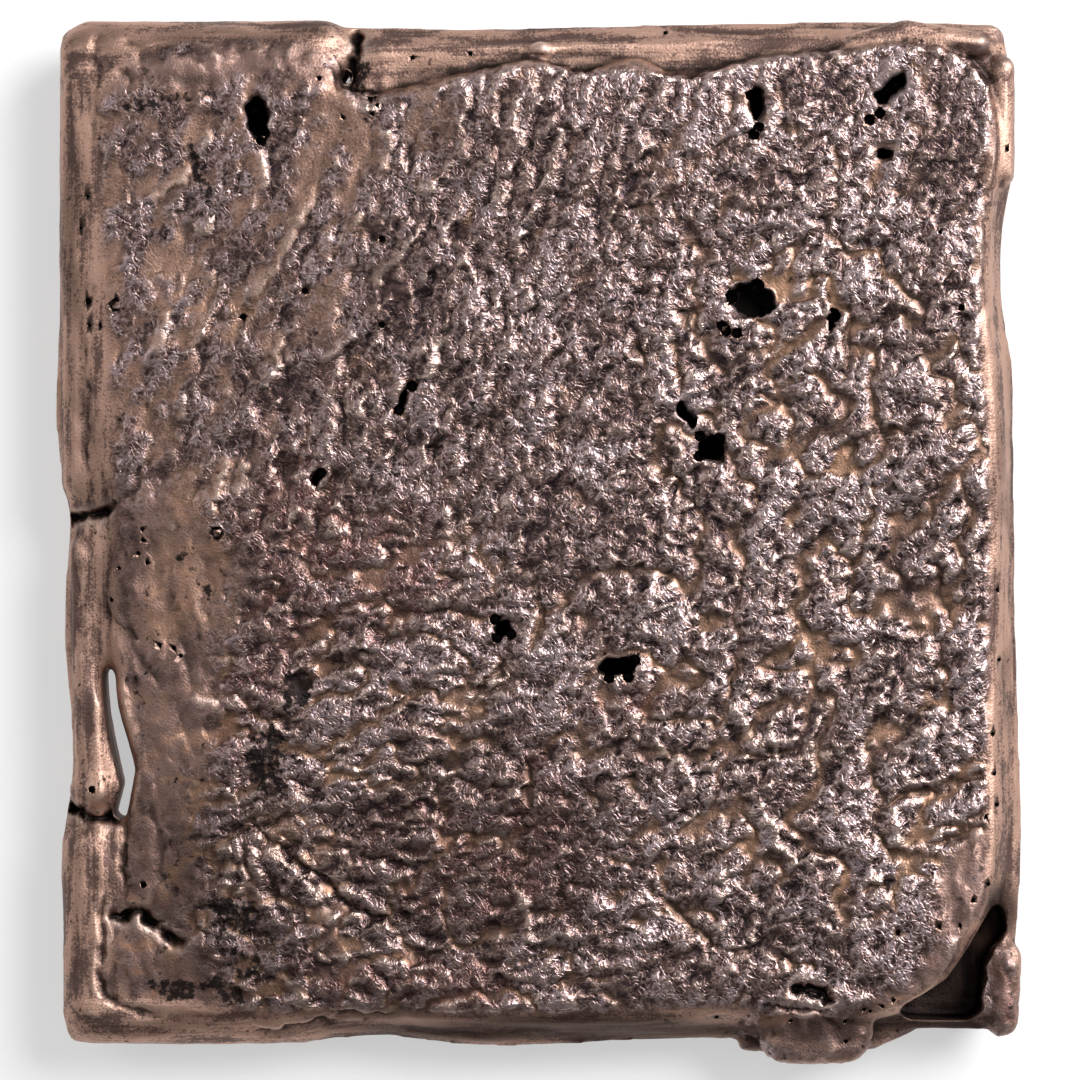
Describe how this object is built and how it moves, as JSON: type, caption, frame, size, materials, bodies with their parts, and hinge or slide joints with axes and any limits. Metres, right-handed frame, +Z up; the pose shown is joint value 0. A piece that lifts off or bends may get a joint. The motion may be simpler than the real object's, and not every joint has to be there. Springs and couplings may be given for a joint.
{
  "type": "copper ingot",
  "caption": "Hand-poured copper slab, cast in an open square mould, with a crinkled free-frozen top, gas pits, smooth rims and a flat base.",
  "frame": {"origin": "on the flat base, in the middle of the overall width and length", "axes": "+Z up through the thickness, +Y along the longer side to the far edge, +X to the right"},
  "size_m": [0.1002, 0.108, 0.0114],
  "materials": {
    "copper": "cast copper with a dark oxide skin, brushed bright along the rims and crests"
  },
  "bodies": {
    "root": {"ingot": "copper"}
  },
  "joints": []
}
